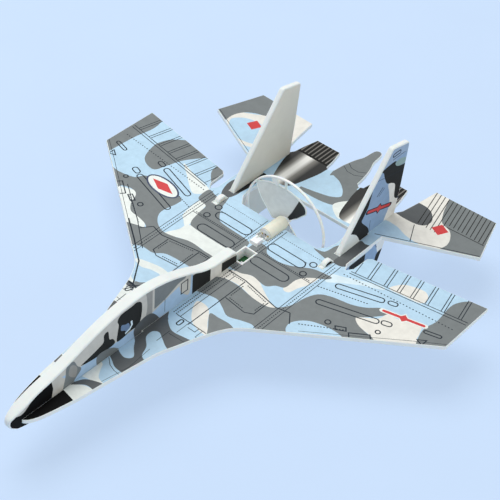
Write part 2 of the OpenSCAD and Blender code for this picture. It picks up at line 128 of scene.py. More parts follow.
class Nodes:
    """A material's node tree, with short calls to add and join nodes."""

    def __init__(self, name):
        self.material = bpy.data.materials.new(name)
        self.material.use_nodes = True
        self.tree = self.material.node_tree
        self.shader = self.tree.nodes["Principled BSDF"]
        self.place = self.add("ShaderNodeTexCoord").outputs["Object"]

    def add(self, kind, **settings):
        node = self.tree.nodes.new(kind)
        for key, value in settings.items():
            if key in node.inputs:
                node.inputs[key].default_value = value
            else:
                setattr(node, key, value)
        return node

    def join(self, a, b):
        self.tree.links.new(a, b)

    def noise(self, size, detail=3, roughness=0.5):
        """Noise whose features are about this many millimetres across."""
        node = self.add("ShaderNodeTexNoise", Scale=1 / (size * MM), Detail=detail, Roughness=roughness)
        self.join(self.place, node.inputs["Vector"])
        return node.outputs["Fac"]

    def ramp(self, value, stops):
        node = self.add("ShaderNodeValToRGB")
        points = node.color_ramp.elements
        while len(points) < len(stops):
            points.new(0.5)
        for point, (where, shade) in zip(points, stops):
            point.position = where
            point.color = shade
        self.join(value, node.inputs["Fac"])
        return node.outputs["Color"]

    def span(self, value, low, high):
        """The value brought from 0..1 to low..high."""
        node = self.add("ShaderNodeMapRange")
        node.inputs["To Min"].default_value = low
        node.inputs["To Max"].default_value = high
        self.join(value, node.inputs["Value"])
        return node.outputs["Result"]

    def bump(self, heights):
        """Bumps from (value, height in millimetres, strength), one over the other."""
        normal = None
        for value, height, strength in heights:
            node = self.add("ShaderNodeBump", Strength=strength, Distance=height * MM)
            self.join(value, node.inputs["Height"])
            if normal:
                self.join(normal, node.inputs["Normal"])
            normal = node.outputs["Normal"]
        self.join(normal, self.shader.inputs["Normal"])

    def cells(self, size):
        """The rounded tops of foam cells of this size in millimetres."""
        node = self.add("ShaderNodeTexVoronoi", Scale=1 / (size * MM))
        self.join(self.place, node.inputs["Vector"])
        return node.outputs["Distance"]

    def done(self, **sockets):
        for key, value in sockets.items():
            self.shader.inputs[key.replace("_", " ")].default_value = value
        return self.material


def shade(tint, factor):
    return tuple(min(c * factor, 1) for c in tint[:3]) + (1,)


def foam_material(name, tint):
    n = Nodes(name)
    mottle = n.ramp(n.noise(9, 4), [(0.3, shade(tint, 0.95)), (0.7, tint)])
    n.join(mottle, n.shader.inputs["Base Color"])
    n.join(n.span(n.noise(0.8), 0.62, 0.85), n.shader.inputs["Roughness"])
    n.bump([(n.noise(6, 2), 0.25, 0.25), (n.cells(0.55), 0.06, 0.5)])
    return n.done(Specular_IOR_Level=0.35, Subsurface_Weight=0.08, Subsurface_Scale=0.002)


def ink_material(name, tint):
    """A printed film over foam: a little uneven, satin, with the foam's cells just showing.

    Dark ink is laid thicker, so it is flatter than the rest."""
    dark = max(tint[:3]) < 0.05
    n = Nodes("ink_" + name)
    n.join(n.ramp(n.noise(5, 5, 0.6), [(0.32, shade(tint, 0.93)), (0.68, shade(tint, 1.05))]),
           n.shader.inputs["Base Color"])
    rough = (0.6, 0.75) if dark else (0.38, 0.55)
    n.join(n.span(n.noise(1.2), *rough), n.shader.inputs["Roughness"])
    n.bump([(n.noise(6, 2), 0.25, 0.2), (n.cells(0.55), 0.03, 0.35)])
    return n.done(Specular_IOR_Level=0.12 if dark else 0.4)


def nozzle_material():
    """The printed nozzles: a metal cylinder's shading across each, dark at both sides."""
    n = Nodes("ink_nozzle")
    across = n.add("ShaderNodeSeparateXYZ")
    n.join(n.place, across.inputs["Vector"])
    width = n.add("ShaderNodeMath", operation="ABSOLUTE")
    n.join(across.outputs["X"], width.inputs[0])
    scale = n.add("ShaderNodeMapRange")
    scale.inputs["From Min"].default_value = NOZZLE_X[0] * MM
    scale.inputs["From Max"].default_value = NOZZLE_X[1] * MM
    n.join(width.outputs["Value"], scale.inputs["Value"])
    dark, mid, bright = colour(26, 26, 24), colour(130, 128, 122), colour(244, 243, 238)
    n.join(n.ramp(scale.outputs["Result"],
                  [(0.04, dark), (0.22, dark), (0.38, mid), (0.5, bright), (0.6, bright),
                   (0.72, mid), (0.84, dark), (1, dark)]), n.shader.inputs["Base Color"])
    n.join(n.span(n.noise(1.2), 0.35, 0.5), n.shader.inputs["Roughness"])
    n.bump([(n.noise(6, 2), 0.25, 0.2), (n.cells(0.55), 0.03, 0.35)])
    return n.done()


def moulded(name, tint, rough=(0.3, 0.45), grain=0.35, **sockets):
    """A moulded plastic or plated surface: fine grain, and a polish that varies."""
    n = Nodes(name)
    n.join(n.ramp(n.noise(3, 4), [(0.3, shade(tint, 0.94)), (0.7, shade(tint, 1.03))]),
           n.shader.inputs["Base Color"])
    n.join(n.span(n.noise(0.9), *rough), n.shader.inputs["Roughness"])
    n.bump([(n.noise(grain, 3), 0.02, 0.4), (n.noise(4, 2), 0.1, 0.15)])
    return n.done(**sockets)


INKS = {
    "blue": colour(180, 211, 232),
    "pale": colour(212, 230, 238),
    "grey": colour(116, 122, 123),
    "dark_grey": colour(80, 84, 86),
    "white": colour(228, 234, 230),
    "cream": colour(228, 226, 218),
    "black": colour(40, 41, 40),
    "jet": colour(9, 9, 9),
    # The nose's grey camouflage print, darkened with painted shade from the fuselage plate.
    "nose_grey": colour(86, 91, 94),
    # White print darkened with painted shade, for the fuselage's upright faces.
    "side_white": colour(198, 195, 186),
    # Blue print darkened with painted shade, for the fuselage's upright faces.
    "side_blue": colour(164, 192, 218),
    "deep_blue": colour(106, 130, 160),
    # Blue print darkened with painted shade, as the base of the fins' outer faces.
    "fin_blue": colour(138, 164, 192),
    "fin_grey": colour(152, 172, 194),
    "warm_grey": colour(150, 149, 144),
    "navy": colour(50, 62, 92),
    "line": colour(40, 48, 56),
    "rib": colour(36, 36, 35),
    "rib_gap": colour(112, 109, 104),
    "red": colour(205, 58, 60),
    "green": colour(140, 165, 160),
}

foam = foam_material("foam", colour(230, 235, 233))
foam_skin = foam_material("foam_skin", colour(224, 221, 208))
inks = {name: ink_material(name, tint) for name, tint in INKS.items()}
inks["nozzle"] = nozzle_material()
white_plastic = moulded("white_plastic", colour(238, 240, 240), Subsurface_Weight=0.1,
                        Subsurface_Scale=0.002)
cream_plastic = moulded("cream_plastic", colour(232, 229, 212), Subsurface_Weight=0.1,
                        Subsurface_Scale=0.002)
clear_plastic = moulded("clear_plastic", colour(244, 247, 244), (0.16, 0.28), Transmission_Weight=0.35,
                        IOR=1.3)
milky_plastic = moulded("milky_plastic", colour(240, 243, 240), (0.25, 0.4), Subsurface_Weight=0.2,
                        Subsurface_Scale=0.002)
black_plastic = moulded("black_plastic", colour(28, 28, 30))
steel = moulded("steel", colour(190, 191, 192), (0.22, 0.4), 0.2, Metallic=1)
magnet = moulded("magnet", colour(96, 96, 100), (0.35, 0.5), Metallic=0.9)
brass = moulded("brass", colour(214, 176, 96), (0.2, 0.35), 0.2, Metallic=1)
copper = moulded("copper", colour(186, 104, 62), (0.22, 0.35), 0.12, Metallic=1)
cell_foil = moulded("cell_foil", colour(186, 190, 194), (0.25, 0.4), 0.8, Metallic=0.8)
foam_tape = moulded("foam_tape", colour(52, 52, 54), (0.8, 0.95), 0.3)
lead_red = moulded("lead_red", colour(178, 30, 26), (0.4, 0.5))
lead_white = moulded("lead_white", colour(222, 222, 212), (0.4, 0.5))
led_red = moulded("led_red", colour(226, 60, 44), (0.1, 0.2), Transmission_Weight=0.3)
board_green = moulded("board_green", colour(38, 96, 54), (0.25, 0.4), 0.25)


# ---------------------------------------------------------------- drawing in the flat

def smooth(points, steps=5):
    """A closed smooth curve through points. A point given twice is a corner."""
    out = []
    for i in range(len(points)):
        a, b, c, d = (Vector(points[(i + k) % len(points)]) for k in (-1, 0, 1, 2))
        if (c - b).length < 0.001:
            continue
        for s in range(steps):
            t = s / steps
            out.append((2 * b + (c - a) * t + (2 * a - 5 * b + 4 * c - d) * t * t
                        + (3 * b - a - 3 * c + d) * t ** 3) / 2)
    return [out]


def box(x0, y0, x1, y1):
    return [[Vector(p) for p in ((x0, y0), (x1, y0), (x1, y1), (x0, y1))]]


def oval(x, y, rx, ry, turn=0, count=28):
    c, s = math.cos(math.radians(turn)), math.sin(math.radians(turn))
    ring = [(rx * math.cos(2 * math.pi * k / count), ry * math.sin(2 * math.pi * k / count))
            for k in range(count)]
    return [[Vector((x + u * c - v * s, y + u * s + v * c)) for u, v in ring]]


def pill(a, b, width, count=6):
    """A strip from a to b with round ends."""
    a, b = Vector(a), Vector(b)
    way = (b - a).normalized() * width / 2
    side = Vector((-way.y, way.x))
    loop = []
    for centre, start in ((b, -90), (a, 90)):
        for k in range(count + 1):
            turn = math.radians(start + 180 * k / count)
            loop.append(centre + way * math.cos(turn) + side * math.sin(turn))
    return [loop]


def stroke(points, width=LINE_W, closed=False):
    """The strip that a pen of this width leaves along points."""
    points = [Vector(p) for p in points]
    n = len(points)
    sides = ([], [])
    for i, p in enumerate(points):
        before = points[i - 1] if closed or i else p
        after = points[(i + 1) % n] if closed or i < n - 1 else p
        ways = [w.normalized() for w in (p - before, after - p) if w.length > 1e-9]
        way = sum(ways, Vector((0, 0))).normalized()
        reach = width / 2 / max(way.dot(ways[0]), 0.5)
        normal = Vector((-way.y, way.x)) * reach
        sides[0].append(p + normal)
        sides[1].append(p - normal)
    if closed:
        return [sides[0], sides[1]]
    return [sides[0] + sides[1][::-1]]


def seam(a, b, pitch=1.6, width=FINE_W, length=1.0):
    """A row of printed dashes from a to b."""
    a, b = Vector(a), Vector(b)
    way = (b - a).normalized()
    count = int((b - a).length / pitch)
    loops = []
    for k in range(count):
        start = a + way * pitch * k
        loops += stroke([start, start + way * length], width)
    return loops


def ring(loops, width=LINE_W):
    """The outline of closed loops, drawn as a line."""
    return [side for loop in loops for side in stroke(loop, width, closed=True)]


def mirror(prints):
    """The same prints on the other side of the centre line."""
    return [(ink, [[Vector((-p.x, p.y)) for p in loop] for loop in loops]) for ink, loops in prints]


# ---------------------------------------------------------------- mesh helpers

def new_object(name, bm, *materials, body="airframe", slot=None, sharp=35):
    mesh = bpy.data.meshes.new(name)
    bmesh.ops.recalc_face_normals(bm, faces=bm.faces)
    bm.to_mesh(mesh)
    bm.free()
    for material in materials:
        mesh.materials.append(material)
    mesh.shade_smooth()
    mesh.set_sharp_from_angle(angle=math.radians(sharp))
    ob = bpy.data.objects.new(name, mesh)
    bpy.context.collection.objects.link(ob)
    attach(ob, body)
    return ob


def rounded(node, name, width, material, slot, segments=3, body="airframe"):
    """A visual copy of a CAD node with its hard edges rounded over."""
    bm = bmesh.new()
    bm.from_mesh(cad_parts[node].data)
    bmesh.ops.remove_doubles(bm, verts=bm.verts, dist=0.002 * MM)
    bmesh.ops.dissolve_limit(bm, angle_limit=math.radians(0.5), verts=bm.verts, edges=bm.edges)
    hard = [e for e in bm.edges if e.is_manifold and e.calc_face_angle() > math.radians(30)]
    bmesh.ops.bevel(bm, geom=hard, offset=width * MM, offset_type="OFFSET", segments=segments,
                    profile=0.5, affect="EDGES", clamp_overlap=False)
    for face in bm.faces:
        face.material_index = 0
    ob = new_object(name, bm, material, body=body, slot=slot)
    ob.modifiers.new("flat_faces", "WEIGHTED_NORMAL").keep_sharp = True
    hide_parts(node)
    return ob


def flat_edges(ob, normal, level):
    """The outline of an object's flat face, as pairs of points."""
    bm = bmesh.new()
    bm.from_mesh(ob.data)
    normal = Vector(normal)
    facing = [f for f in bm.faces if f.normal.dot(normal) > 0.9999]
    flat = {f for f in facing if abs(f.calc_center_median().dot(normal) - level) < 0.01 * MM}
    edges = [tuple(v.co.copy() for v in e.verts) for e in bm.edges
             if sum(f in flat for f in e.link_faces) == 1]
    bm.free()
    return edges


def covered(points, segments):
    """Which points lie inside the outline that the segments form."""
    a, b = segments[:, 0], segments[:, 1]
    inside = np.zeros(len(points), bool)
    for i in range(0, len(segments), 64):
        p, q = a[i:i + 64], b[i:i + 64]
        spans = (p[:, 1] > points[:, 1:2]) != (q[:, 1] > points[:, 1:2])
        rise = np.where(q[:, 1] == p[:, 1], 1, q[:, 1] - p[:, 1])
        cut = p[:, 0] + (points[:, 1:2] - p[:, 1]) / rise * (q[:, 0] - p[:, 0])
        inside ^= (spans & (points[:, 0:1] < cut)).sum(1) % 2 == 1
    return inside


def loop_edges(loop):
    return [(loop[i - 1], loop[i]) for i in range(len(loop))]


def skin(name, outline, prints, base, plot, place, slot, body="airframe"):
    """A printed film: one closed sheet, divided along every edge of the print.

    outline is the foam's flat face as pairs of points; plot brings a point of the model to the
    drawing, and place brings a point of the drawing to the model at a height over the foam."""
    border = [(plot(p), plot(q)) for p, q in outline]
    coords, edges = [], []
    for a, b in border + [e for _, loops in prints for loop in loops for e in loop_edges(loop)]:
        edges.append((len(coords), len(coords) + 1))
        coords += [a, b]
    flat, _, faces, *_ = delaunay_2d_cdt(coords, edges, [], 0, 1e-4)
    flat = np.array([tuple(v) for v in flat])
    middles = flat[np.array(faces)].mean(1)
    kept = covered(middles, np.array(border, float))
    names = sorted({base} | {ink for ink, _ in prints})
    paint = np.full(len(faces), names.index(base))
    for ink, loops in prints:
        hit = np.zeros(len(faces), bool)
        for loop in loops:
            low, high = np.min(loop, axis=0), np.max(loop, axis=0)
            near = np.all((middles >= low) & (middles <= high), axis=1) & kept
            if near.any():
                hit[near] ^= covered(middles[near], np.array(loop_edges(loop), float))
        paint[hit] = names.index(ink)
    bm = bmesh.new()
    tops, bottoms = {}, {}
    rim = {}
    for k in np.flatnonzero(kept):
        corners = list(faces[k])
        for v in corners:
            if v not in tops:
                tops[v] = bm.verts.new(place(*flat[v], INK_H))
                bottoms[v] = bm.verts.new(place(*flat[v], -INK_H))
        top = bm.faces.new([tops[v] for v in corners])
        under = bm.faces.new([bottoms[v] for v in reversed(corners)])
        top.material_index = under.material_index = int(paint[k])
        for i, v in enumerate(corners):
            edge = (v, corners[(i + 1) % len(corners)])
            if (edge[1], edge[0]) in rim:
                del rim[edge[1], edge[0]]
            else:
                rim[edge] = int(paint[k])
    for (v, w), index in rim.items():
        bm.faces.new([tops[w], tops[v], bottoms[v], bottoms[w]]).material_index = index
    return new_object(name, bm, *[inks[n] for n in names], body=body, slot=slot)


def lathe(bm, profile, count=64, index=0):
    """Turns a closed profile of (station, radius) about the shaft."""
    rows = []
    for k in range(count):
        turn = 2 * math.pi * k / count
        c, s = math.cos(turn), math.sin(turn)
        rows.append([bm.verts.new(at(r * c, y, AXIS_Z + r * s)) for y, r in profile])
    n = len(profile)
    for k in range(count):
        a, b = rows[k], rows[(k + 1) % count]
        for i in range(n):
            j = (i + 1) % n
            bm.faces.new([a[i], a[j], b[j], b[i]]).material_index = index


def lip(y0, y1, r0, r1, edge, count=4):
    """A tube's wall from y0 to y1 and r0 to r1 as a closed profile with rounded edges."""
    corners = [(y0 + edge, r1 - edge, 180, 90), (y1 - edge, r1 - edge, 90, 0),
               (y1 - edge, r0 + edge, 0, -90), (y0 + edge, r0 + edge, -90, -180)]
    return [(cy + edge * math.cos(math.radians(a0 + (a1 - a0) * k / count)),
             cr + edge * math.sin(math.radians(a0 + (a1 - a0) * k / count)))
            for cy, cr, a0, a1 in corners for k in range(count + 1)]


def tube(bm, points, radius, sides=10, index=0):
    """A round bead along points, with closed ends."""
    rows = []
    for i, p in enumerate(points):
        way = (points[min(i + 1, len(points) - 1)] - points[max(i - 1, 0)]).normalized()
        u = way.cross(Vector((0.3, 0.9, 0.2))).normalized()
        v = way.cross(u)
        turns = [2 * math.pi * k / sides for k in range(sides)]
        rows.append([bm.verts.new(p + radius * MM * (math.cos(t) * u + math.sin(t) * v)) for t in turns])
    for a, b in zip(rows, rows[1:]):
        for k in range(sides):
            bm.faces.new([a[k], a[k - 1], b[k - 1], b[k]]).material_index = index
    bm.faces.new(rows[0])
    bm.faces.new(rows[-1][::-1])


# ---------------------------------------------------------------- prints

def deck_base_prints():
    """Camouflage of the deck, port and starboard, in the order that it is laid down, with painted shade of
    the fins on the deck beside their roots and at the nose.
    """
    nose = [
        # Grey camouflage at the nose, in a darker grey that holds painted shade.
        ("nose_grey", smooth([(2, -91), (7, -92), (10, -95), (17, -99), (26, -98), (36, -96),
                              (36, -96), (31, -113), (31, -113), (24, -112), (17, -108),
                              (12, -105.5), (8.5, -108), (9, -114), (15, -120), (19, -128),
                              (28, -130), (28, -130), (24, -146), (24, -146), (14, -146), (8, -143),
                              (2, -140), (2, -140)])),
        ("blue", smooth([(2, -120), (6, -121), (10, -126), (15.5, -132), (12, -136), (6, -134.5),
                         (2, -131)])),
        ("white", smooth([(2, -150), (6, -149), (9, -154), (13, -159), (20, -161), (8, -164),
                          (2, -164)])),
        # More nose grey with painted shade.
        ("nose_grey", smooth([(24, -159), (24, -159), (15, -161.5), (8, -165), (5, -170), (2, -178),
                              (2, -178), (8, -171), (13, -168), (24, -168)])),
        ("white", smooth([(2, -178), (7, -172), (13, -168.5), (24, -168), (24, -168), (24, -184),
                          (24, -184), (2, -184), (2, -184)])),
        ("jet", smooth([(0, -180), (0, -180), (6, -180.5), (20, -183), (20, -183), (16, -216),
                        (16, -216), (0, -216), (0, -216)])),
    ]
    port = [
        ("cream", smooth([(10, -69), (16, -67), (22, -70), (28, -78), (35, -87), (24, -86),
                          (16, -80)])),
        ("grey", smooth([(23.5, -71), (30, -70), (40, -69.5), (48, -73), (48, -73), (38, -90),
                         (36, -88), (31, -81)])),
        ("cream", smooth([(2, -32), (2, -32), (13, -28), (21, -25.5), (28, -27), (33, -30),
                          (44, -36), (50, -38), (44, -41), (33, -41), (20, -38.5), (8, -40),
                          (2, -44), (2, -44)])),
        ("grey", smooth([(2, -62), (2, -62), (2, -44), (2, -44), (8, -40), (20, -39), (33, -41),
                         (44, -41), (50, -38), (56, -29), (58, -18), (62, -9), (70, -4.5),
                         (83, -1.5), (92, 3), (100, 10), (106, 8), (101, 0), (95, -7), (95, -11),
                         (101, -14), (112, -16), (121, -16), (121, -16), (100, -33), (100, -30),
                         (93, -28), (82, -29), (72, -33), (66, -41), (67, -48), (73, -55), (56, -66),
                         (56, -64), (50, -60), (42, -62), (33, -65), (25, -61), (17, -58)])),
        ("cream", smooth([(93, -9), (97, -5), (104, 1), (106, 8), (114, 9), (127, 14), (131, 8),
                          (133, 2), (140, -4), (121, -18), (110, -15.5), (99, -13.5)])),
        ("white", smooth([(103, -30), (103, -30), (120, -15), (136, -2), (140, -4), (140, -4),
                          (120, -22)])),
        ("cream", smooth([(92, 28), (96, 37), (104, 41), (112, 42), (116.5, 37), (115, 31),
                          (103, 29)])),
        ("pale", smooth([(58, 4), (66, 10), (78, 18), (90, 24), (88, 26.5), (76, 22), (64, 16),
                         (56, 12)])),
        ("cream", smooth([(42, -6), (42, -20), (47, -21), (49, -14), (52, -6), (53, 3), (50, 5),
                          (46, -2)])),
        ("grey", smooth([(8, 3), (13, -2), (22, -3), (30, -1), (37, 3), (45, 8), (58, 10), (57, 6),
                         (50, 1), (46, -3), (43, -9), (42.5, -19), (37, -22), (32, -27), (20, -25.5),
                         (12, -29), (0, -29), (0, -29), (0, 3), (0, 3)])),
        ("grey", smooth([(32, 24), (39, 26.5), (41, 36), (44, 40), (50, 34), (50, 20), (46, 21)])),
        # Grey print beside the port fin's root, darkened here with painted shade of the fin.
        ("dark_grey", smooth([(49, 22), (49, 22), (58, 24), (60, 40), (60, 52), (54, 52),
                              (49, 50)])),
        ("grey", smooth([(131, 42), (134, 51), (140, 57.5), (146, 62), (155, 64), (155, 64),
                         (155, 4), (155, 4), (146, 3), (137, -3), (133, 3), (130.5, 14),
                         (132.5, 25)])),
    ]
    starboard = [
        ("grey", smooth([(-24, -78), (-30, -80), (-37, -86), (-33, -90), (-24, -86)])),
        ("white", smooth([(-20, -88), (-26, -96), (-36, -90), (-44, -76), (-36, -66), (-22, -66)])),
        ("blue", smooth([(-22, -84), (-38, -80), (-44, -70), (-30, -66), (-20, -70)])),
        ("white", smooth([(-46, -66), (-31, -61.5), (-22, -61.5), (-14, -63), (-14, -67),
                          (-21, -66.5), (-30.6, -67.2), (-39, -69.8)])),
        ("grey", smooth([(-31, -83), (-28, -81), (-23.7, -77.2), (-18, -77), (-18, -84),
                         (-25, -88)])),
        ("white", smooth([(-38, -88), (-30, -87), (-24, -89), (-20, -96), (-22, -102), (-27, -104.5),
                          (-36, -103)])),
        ("dark_grey", smooth([(-38, -86), (-32, -84.5), (-27, -86), (-28.5, -88.5), (-34, -88.5)])),
        ("white", smooth([(-2, -34), (-2, -34), (-10, -31), (-24, -29), (-36, -30), (-50, -35),
                          (-46, -25), (-45, -18), (-38, -16), (-10, -16), (-2, -14), (-2, -14)])),
        ("white", smooth([(-90, -16), (-98, -17), (-106, -20), (-115, -22), (-95, -42), (-72, -47),
                          (-64, -40), (-72, -34), (-83, -33)])),
        ("grey", smooth([(-2, -46), (-2, -46), (-8, -31), (-20, -29.5), (-32, -29), (-44, -33),
                         (-53, -34), (-62, -29), (-67, -20), (-65, -6), (-67, 0), (-84, 3),
                         (-101, 1), (-106, -6), (-118, -9), (-128, -8), (-128, -8), (-108, -25),
                         (-106, -19), (-98, -16.5), (-92, -19), (-88, -28), (-82, -34), (-74, -35),
                         (-66, -37), (-63, -40), (-70, -42), (-80, -48), (-64, -60), (-52, -55),
                         (-42, -54.5), (-34, -49), (-14, -47.5)])),
        ("white", smooth([(-50, 8), (-56, 8), (-55, -10), (-50, -16), (-44, -20), (-46, -8),
                          (-49, 4)])),
        ("white", smooth([(-58, 18), (-64, 10), (-72, 14), (-82, 22), (-92, 30), (-76, 25),
                          (-62, 22)])),
        ("grey", smooth([(-59, 21), (-50, 19), (-45, 26), (-40, 12), (-34, 3), (-28, 0), (-6, -1),
                         (-2, -4), (-2, -14), (-8, -17), (-38, -17), (-45, -14), (-48, -2),
                         (-49.5, 6), (-58, 8), (-60, 14)])),
        # Painted shadow of the starboard fin on the deck beside its root: dark grey, and black nearest the
        # fin.
        ("dark_grey", smooth([(-55, 38), (-53, 28), (-49, 22), (-44, 24), (-42, 34), (-46, 46),
                              (-52, 46)])),
        ("black", smooth([(-46, 62), (-46, 62), (-49, 44), (-48, 34), (-43, 32), (-41, 42),
                          (-41, 54), (-42, 62), (-42, 62)])),
        ("grey", smooth([(-83, 50), (-83, 50), (-84, 47), (-92, 36), (-96, 28), (-99, 18),
                         (-102, 10), (-110, 10.5), (-117, 16), (-121, 28), (-121, 35), (-117, 44),
                         (-109, 51), (-109, 55), (-109, 55)])),
        ("grey", smooth([(-60, 46), (-60, 46), (-72, 46), (-72.5, 39), (-69, 33), (-61, 25),
                         (-61, 25)])),
        ("grey", smooth([(-155, 64), (-155, 64), (-141, 62), (-137, 54), (-135.5, 44), (-138, 28),
                         (-139, 14), (-139.5, 0), (-139.5, 0), (-155, 0), (-155, 0)])),
    ]
    return nose + mirror(nose) + port + starboard


def tail_prints():
    """Camouflage of the tail, the printed nozzles on both sides, and the tail's lines."""
    patches = [
        ("cream", smooth([(49, 79), (57, 82), (64, 80), (71, 78), (84, 78), (98, 84), (95, 95),
                          (89, 103), (80, 110), (72, 124), (68, 140), (50, 140), (48, 100)])),
        ("blue", smooth([(47, 60), (47, 80), (57, 82), (66, 79), (74, 74), (60, 60)])),
        ("grey", smooth([(66, 138), (66, 138), (70, 125), (74, 115), (79, 107), (87, 104), (92, 98),
                         (94.5, 90), (92, 80), (92, 80), (125, 92), (125, 92), (110, 140),
                         (110, 140)])),
        ("dark_grey", smooth([(50, 113), (50, 113), (60, 113.5), (67, 111), (72.5, 104), (72, 97),
                              (67, 93.5), (58, 92.5), (49, 93), (49, 93)])),
        ("cream", smooth([(-47, 98), (-47, 98), (-60, 84), (-78, 76), (-96, 84), (-106, 92),
                          (-104, 104), (-92, 112), (-84, 120), (-80, 140), (-80, 140), (-47, 140),
                          (-47, 140)])),
        ("blue", smooth([(-103, 92), (-99, 100), (-90, 104), (-80, 103), (-70, 92), (-72, 82),
                         (-90, 80)])),
        ("grey", smooth([(-104.5, 84), (-104.5, 84), (-105.5, 97), (-102, 106), (-95, 111.5),
                         (-86, 116), (-90, 126), (-95, 140), (-125, 140), (-125, 140), (-125, 84)])),
        ("grey", smooth([(-10.5, 98), (-7, 95), (-1, 93), (5, 89), (9.5, 84), (11, 79.5), (6, 75),
                         (-3, 72), (-16, 69), (-16, 69), (-16, 66), (-16, 66), (-4, 65.5), (8, 67),
                         (14, 70), (17, 76), (17, 84), (15, 94), (14, 99), (14, 150), (14, 150),
                         (-14, 150), (-14, 150)])),
        ("white", smooth([(12.5, 69), (24, 60), (27, 66), (20, 78), (18, 80)])),
    ]
    ribs = [loop for x in np.arange(14, 48, 3.2) for loop in box(x, 101.5, x + 2.2, 121)]
    nozzles = [
        ("nozzle", smooth([(23.5, 62), (37, 62), (37, 62), (41.5, 74), (45, 86), (46.5, 97),
                           (45, 104), (45, 104), (15, 104), (15, 104), (15, 94), (17, 82)])),
        ("rib_gap", box(14, 100.5, 47, 121)),
        ("rib", box(14, 99.5, 47, 101.5) + ribs),
    ]
    lines = []
    for x in np.arange(57, 108, 3.45):
        foot_y = 108 if x > 76 else 95
        lines.append(("rib", stroke([(x, 134), (x + (134 - foot_y) * 0.25, foot_y)], 0.6)))
    lines += [
        ("rib", stroke([(84, 105.5), (113, 107.5)], 0.6)),
        ("line", stroke([(52, 65), (75, 76.2), (117, 96.4)], 0.6)),
        ("line", stroke([(66, 92), (74, 76)], 0.6)),
        ("line", stroke([(-8, 114), (-3, 110.5), (3, 110.5), (8, 114)], 0.4)),
        ("line", stroke([(-9, 109), (-3, 105.5), (3, 105.5), (9, 109)], 0.4)),
        ("line", stroke([(-52, 65), (-75, 76.2), (-117, 96.4)], 0.4)),
    ]
    return patches + nozzles + mirror(nozzles) + lines


def wing_lines():
    """Printed panel lines, seams and ribs of one wing, port side."""
    lines = [
        ("line", stroke([(64, 21.5), (148, 35)], 0.6)),
        ("line", stroke([(64, 23.5), (148, 37.5)], 0.6)),
        ("line", ring(pill((67, 6.5), (95, 15.5), 4.4))),
        ("line", ring(pill((67, -14), (104, -2.5), 4.4))),
        ("line", ring(pill((101, 17.8), (104, 18.6), 3.6))),
        ("line", ring(pill((109, 0), (112, 1), 4))),
        ("line", ring(pill((133, 12), (142, 14.5), 2.6))),
        ("line", ring(oval(82.5, -24.5, 1.9, 1.9))),
        ("line", ring(oval(111, -9.5, 1.6, 1.6))),
        ("line", ring([[Vector(p) for p in ((88, -24), (94, -20.5), (96, -23), (90, -26.5))]])),
        ("line", ring([[Vector(p) for p in ((98, -23), (109, -15), (112, -18.5), (101, -26.5))]])),
        ("line", ring([[Vector(p) for p in ((133, 2.5), (138, 6), (138, 0.5))]])),
        ("line", stroke([(74, -44), (100, -24.5), (131, -1), (149, 12)], 0.35)),
        ("line", seam((62, 18), (148, 26), 2.4)),
        ("line", seam((57, -3), (92, 7), 2)),
        ("line", seam((70, -39), (96, -22), 2)),
        ("line", stroke([(60, -35), (66, -43)], 0.7)),
        ("line", ring(oval(42, 11, 2.4, 2.4))),
        ("line", ring(oval(42.5, -0.5, 2.2, 2.2))),
        ("line", ring(pill((12, 5.5), (35, 5.5), 7.5))),
        ("line", ring(pill((12, -12.5), (35.5, -12.5), 7.5))),
        ("line", stroke([(9, -4.4), (52, -4.4)], 0.5)),
        ("line", seam((9, -3.2), (52, -3.2), 1.6)),
        ("line", stroke([(9, 9.2), (38, 9.2)], 0.5)),
        ("line", stroke([(9, 1.8), (36, 1.8)], 0.5)),
        ("line", seam((9, 17.5), (46, 17.8), 1.8, 0.5)),
        ("line", stroke([(5, -32), (20, -32), (50, -37.5), (60, -35)], 0.8)),
        ("line", seam((10, -33.5), (22, -33.5), 1.6)),
        ("line", seam((24, -34.6), (43, -38.4), 1.6)),
        ("line", stroke([(20.4, -33), (20.4, -88)], 0.7)),
        ("line", stroke([(12, -33), (12, -86)], 0.5)),
        ("line", stroke([(44, -37.5), (44, -52), (38.5, -55), (21, -53)], 0.7)),
        ("line", seam((42.4, -40), (42.4, -51), 1.6)),
        ("line", seam((23, -51.4), (37, -53), 1.6)),
        ("line", seam((22.2, -37), (22.2, -50), 1.6)),
        ("line", stroke([(52, -62), (52, 22)], 0.5)),
        ("line", stroke([(56.5, -62), (56.5, 22)], 0.5)),
        ("line", seam((54.2, -60), (54.2, 20), 1.9)),
        ("line", seam((6.2, -86), (6.2, 24), 1.7)),
        ("line", seam((8.4, -86), (8.4, -30), 1.7)),
        ("line", stroke([(8.4, -30), (8.4, 24)], 0.55)),
        ("line", stroke([(9, -86), (34, -86)], 0.6)),
        ("line", stroke([(22, -90), (28, -90), (28, -86)], 0.5)),
        ("line", ring(pill((15.5, -91.5), (15.5, -88.5), 2.6))),
        ("line", stroke([(20, -86), (20, -98)], 0.4)),
        ("line", stroke([(31, -86), (31, -93), (34, -93)], 0.4)),
        ("line", stroke([(34, -88), (44, -72), (60, -57)], 0.35)),
        ("line", stroke([(16, -100), (16, -112)], 0.4)),
        ("line", stroke([(17, -102), (31, -101)], 0.4)),
        ("line", stroke([(5, -142.6), (10, -146.6), (15, -148.2), (21, -148.6)], 0.4)),
        ("line", stroke([(18, -120), (19.5, -140), (16, -160)], 0.3)),
    ]
    rib_x = [77, 89, 98.5, 108, 118.5, 130, 142]
    for x in rib_x:
        head = (x, 23.8 + (x - 64) * 0.167)
        foot = (x - 5.5, head[1] + 24)
        for shift in (-1.1, 1.1):
            lines.append(("line", stroke([(head[0] + shift, head[1]), (foot[0] + shift, foot[1])], 0.6)))
    lines.append(("line", stroke([(67, 24), (64.5, 36)], 0.5)))
    return lines


